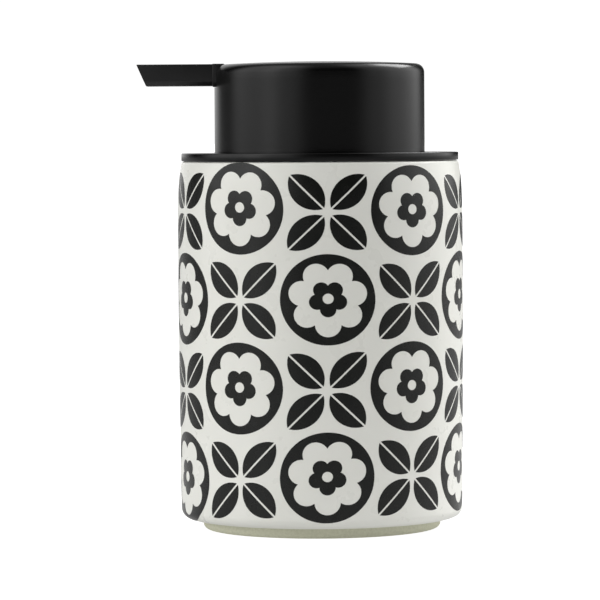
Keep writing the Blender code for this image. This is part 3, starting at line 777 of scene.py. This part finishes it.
def make_balls():
    """The two valve balls, each on a body of its own."""
    for node, body in (("inlet_ball", "inlet_ball_body"), ("outlet_ball", "outlet_ball_body")):
        low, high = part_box(node)
        mesh = bpy.data.meshes.new(node)
        form = bmesh.new()
        middle = [(a + b) / 2 for a, b in zip(low, high)]
        bmesh.ops.create_uvsphere(form, u_segments=48, v_segments=32, radius=(high[2] - low[2]) / 2,
                                  matrix=Matrix.Translation(middle))
        form.to_mesh(mesh)
        form.free()
        add_piece("valve_" + node, mesh, body, [STEEL], node)


def make_dip_tube():
    """Thin-walled tube whose lower end is cut at a slant."""
    low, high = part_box("dip_tube")
    outer, inner = high[0], 2.4 * MM
    mesh = lathe("dip_tube", softened([(inner, high[2]), (outer, high[2]), (outer, low[2]), (inner, low[2])],
                                      0.15 * MM), PUMP_STEPS)
    slant_height = 8.3 * MM + outer         # where the cut crosses the tube's axis
    slant_angle = math.radians(40)
    slant = box_mesh("slant", (-15 * MM, -8 * MM, -12 * MM), (15 * MM, 8 * MM, 0.0))
    place = Matrix.Translation((0.0, 0.0, slant_height)) @ Matrix.Rotation(slant_angle, 4, "Y")
    mesh = combined(mesh, slant, "DIFFERENCE", place)
    return add_piece("suction_tube", mesh, "lid_body", [MILKY], "dip_tube")


def make_lock_nut():
    """Hexagon nut with chamfered corners."""
    low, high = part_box("lock_nut")
    mesh = bpy.data.meshes.new("lock_nut")
    form = bmesh.new()
    corner = max(high[0], high[1])
    # a hexagon whose corners lie on the same axis as the CAD node's
    turn = 0.0 if high[0] > high[1] else math.pi / 2
    angles = [turn + math.pi / 3 * side for side in range(6)]
    bottom = [form.verts.new((corner * math.cos(a), corner * math.sin(a), low[2])) for a in angles]
    top = [form.verts.new((corner * math.cos(a), corner * math.sin(a), high[2])) for a in angles]
    for side in range(6):
        following = (side + 1) % 6
        form.faces.new((bottom[side], bottom[following], top[following], top[side]))
    form.faces.new(top)
    form.faces.new(bottom[::-1])
    form.to_mesh(mesh)
    form.free()
    bore_radius = 8.3 * MM
    bore_top, bore_bottom = high[2] + MM, low[2] - MM
    bore = lathe("bore", [(0.0, bore_top), (bore_radius, bore_top), (bore_radius, bore_bottom),
                          (0.0, bore_bottom)], PUMP_STEPS)
    mesh = combined(mesh, bore, "DIFFERENCE")
    mesh = bevelled(mesh, 0.35 * MM, 3, 40.0)
    return add_piece("hexagon_nut", mesh, "lid_body", [MILKY], "lock_nut")


def make_spring():
    """The return spring's coil, built as one fixed mesh; the real spring shortens as the head is pressed."""
    low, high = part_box("return_spring")
    wire = 0.45 * MM
    coil = high[0] - wire
    turns, points_per_turn = 6, 48
    bottom, top = low[2] + wire, high[2] - wire
    closed_pitch = 2.1 * wire
    open_pitch = (top - bottom - 2 * closed_pitch) / (turns - 2)
    curve = bpy.data.curves.new("coil", "CURVE")
    curve.dimensions = "3D"
    curve.bevel_depth = wire
    curve.bevel_resolution = 5
    curve.use_fill_caps = True
    line = curve.splines.new("POLY")
    count = turns * points_per_turn
    line.points.add(count)
    for index, point in enumerate(line.points):
        turn = index / points_per_turn
        angle = 2 * math.pi * turn
        rise = min(turn, 1.0) * closed_pitch
        rise += min(max(turn - 1.0, 0.0), turns - 2) * open_pitch
        rise += max(turn - turns + 1.0, 0.0) * closed_pitch
        point.co = (coil * math.cos(angle), coil * math.sin(angle), bottom + rise, 1.0)
    drawn = bpy.data.objects.new("coil", curve)
    bpy.context.scene.collection.objects.link(drawn)
    bpy.context.view_layer.update()
    mesh = bpy.data.meshes.new_from_object(drawn.evaluated_get(bpy.context.evaluated_depsgraph_get()))
    bpy.data.objects.remove(drawn, do_unlink=True)
    form = bmesh.new()
    form.from_mesh(mesh)
    bmesh.ops.remove_doubles(form, verts=form.verts, dist=0.001 * MM)
    bmesh.ops.recalc_face_normals(form, faces=form.faces)
    form.to_mesh(mesh)
    form.free()
    spring = add_piece("coil_spring", mesh, "lid_body", [STEEL], "return_spring")
    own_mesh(spring)
    return spring


make_bottle()
make_print()
make_lid_plate()
make_head_cap()
make_spout()
make_spout_tube()
make_inner_pieces()
make_balls()
make_dip_tube()
make_lock_nut()
make_spring()


# ---------------------------------------------------------------- floor, light and camera
FLOOR_RADIUS = 30.0
FLOOR_GLOW = 0.9                        # as the camera sees it, so that shadows on it stay light
BACKDROP = 1.05                         # white that only the camera sees behind the object
BOUNCE = 0.27                           # as the object sees it, close by
BOUNCE_NEAR = 80 * MM
BOUNCE_FAR = 450 * MM
FADE = 25.0                             # degrees over which a soft box fades at its edges
# azimuth from the front towards the right, elevation, half width, half height (degrees) and brightness
SOFT_BOXES = ((-78, 20, 16, 40, 1.75), (-42, 20, 8, 40, 1.25), (68, 20, 5, 40, 1.05), (110, 23, 16, 39, 1.8),
              (-165, 15, 8, 15, 1.0), (0, 75, 180, 15, 0.3))


class Wiring:
    """Short forms for the arithmetic nodes of one node tree."""

    def __init__(self, tree):
        self.tree = tree

    def math(self, operation, *values):
        node = self.tree.nodes.new("ShaderNodeMath")
        node.operation = operation
        for socket, value in zip(node.inputs, values):
            if isinstance(value, (int, float)):
                socket.default_value = value
            else:
                self.tree.links.new(value, socket)
        return node.outputs[0]

    def fade(self, value, start, end):
        """1 up to the start, 0 from the end on, smooth between them."""
        node = self.tree.nodes.new("ShaderNodeMapRange")
        node.interpolation_type = "SMOOTHSTEP"
        node.inputs["From Min"].default_value = start
        node.inputs["From Max"].default_value = end
        node.inputs["To Min"].default_value = 1.0
        node.inputs["To Max"].default_value = 0.0
        self.tree.links.new(value, node.inputs["Value"])
        return node.outputs["Result"]


def make_floor():
    """A pale floor that looks evenly lit to the camera and throws more light near the object."""
    form = bmesh.new()
    bmesh.ops.create_circle(form, cap_ends=True, segments=64, radius=FLOOR_RADIUS)
    mesh = bpy.data.meshes.new("floor")
    form.to_mesh(mesh)
    form.free()
    look = Shading("pale_floor", (0.4, 0.4, 0.4), 0.8)
    look.tint(look.spread(look.noise(0.3), 0.0, 1.0), (0.40, 0.40, 0.40), (0.42, 0.42, 0.42))
    look.shader.inputs["Specular IOR Level"].default_value = 0.0
    wiring = Wiring(look.tree)
    seen = look.tree.nodes.new("ShaderNodeLightPath").outputs["Is Camera Ray"]
    away = look.tree.nodes.new("ShaderNodeVectorMath")
    away.operation = "LENGTH"
    look.link(look.place, away.inputs[0])
    bounce = wiring.math("MULTIPLY", wiring.fade(away.outputs["Value"], BOUNCE_NEAR, BOUNCE_FAR), BOUNCE)
    bounce = wiring.math("MULTIPLY", bounce, wiring.math("SUBTRACT", 1.0, seen))
    glow = wiring.math("MULTIPLY", seen, FLOOR_GLOW)
    look.shader.inputs["Emission Color"].default_value = (1.0, 1.0, 1.0, 1.0)
    look.link(wiring.math("ADD", glow, bounce), look.shader.inputs["Emission Strength"])
    floor = bpy.data.objects.new("floor", mesh)
    mesh.materials.append(look.material)
    bpy.context.scene.collection.objects.link(floor)


def make_studio():
    """A dark room with large soft boxes round the object and a white backdrop for the camera."""
    world = bpy.data.worlds.new("studio")
    bpy.context.scene.world = world
    world.use_nodes = True
    tree = world.node_tree
    tree.nodes.clear()
    wiring = Wiring(tree)
    place = tree.nodes.new("ShaderNodeTexCoord")
    apart = tree.nodes.new("ShaderNodeSeparateXYZ")
    tree.links.new(place.outputs["Generated"], apart.inputs[0])
    turn = wiring.math("ARCTAN2", apart.outputs["X"], wiring.math("MULTIPLY", apart.outputs["Y"], -1.0))
    rise = wiring.math("ARCSINE", apart.outputs["Z"])
    total = 0.0
    for azimuth, elevation, half_width, half_height, level in SOFT_BOXES:
        aside = wiring.math("WRAP", wiring.math("SUBTRACT", turn, math.radians(azimuth)), math.pi, -math.pi)
        above = wiring.math("SUBTRACT", rise, math.radians(elevation))
        share = wiring.math("MULTIPLY",
                            wiring.fade(wiring.math("ABSOLUTE", aside), math.radians(half_width),
                                        math.radians(half_width + FADE)),
                            wiring.fade(wiring.math("ABSOLUTE", above), math.radians(half_height),
                                        math.radians(half_height + FADE)))
        total = wiring.math("MULTIPLY_ADD", share, float(level), total)
    output = tree.nodes.new("ShaderNodeOutputWorld")
    seen = tree.nodes.new("ShaderNodeBackground")
    lit = tree.nodes.new("ShaderNodeBackground")
    mix = tree.nodes.new("ShaderNodeMixShader")
    path = tree.nodes.new("ShaderNodeLightPath")
    seen.inputs["Color"].default_value = (1.0, 1.0, 1.0, 1.0)
    seen.inputs["Strength"].default_value = BACKDROP
    lit.inputs["Color"].default_value = (1.0, 1.0, 1.0, 1.0)
    tree.links.new(total, lit.inputs["Strength"])
    tree.links.new(path.outputs["Is Camera Ray"], mix.inputs["Fac"])
    tree.links.new(lit.outputs[0], mix.inputs[1])
    tree.links.new(seen.outputs[0], mix.inputs[2])
    tree.links.new(mix.outputs[0], output.inputs[0])


def add_soft_box(name, place, target, size, power):
    """A rectangular lamp that faces a target. size is its width and height, power is in watts."""
    data = bpy.data.lights.new(name, "AREA")
    data.shape = "RECTANGLE"
    data.size, data.size_y = size
    data.energy = power
    lamp = bpy.data.objects.new(name, data)
    lamp.location = place
    lamp.rotation_euler = (Vector(target) - Vector(place)).to_track_quat("-Z", "Y").to_euler()
    bpy.context.scene.collection.objects.link(lamp)


def make_camera():
    """A long lens a little above the lid's height, as far off as the bottle's edges show it to be."""
    distance = 1.080
    height = 0.1121
    aside = -5.83 * MM
    aim_height = 64.1 * MM
    roll = math.radians(-0.38)
    data = bpy.data.cameras.new("camera")
    data.sensor_width = 36.0
    data.lens = 230.3
    data.clip_start = 0.01
    camera = bpy.data.objects.new("camera", data)
    place = Vector((aside, -distance, height))
    look = Vector((aside, 0.0, aim_height)) - place
    camera.location = place
    aimed = look.to_track_quat("-Z", "Y").to_matrix() @ Matrix.Rotation(roll, 3, "Z")
    camera.rotation_euler = aimed.to_euler()
    bpy.context.scene.collection.objects.link(camera)
    bpy.context.scene.camera = camera


make_floor()
make_studio()
add_soft_box("rear_top", place=(0.62, 0.46, 0.85), target=(0.0, 0.0, 0.10), size=(0.58, 0.52), power=7.2)
make_camera()

view = bpy.context.scene.view_settings
view.view_transform = "Standard"
view.look = "None"
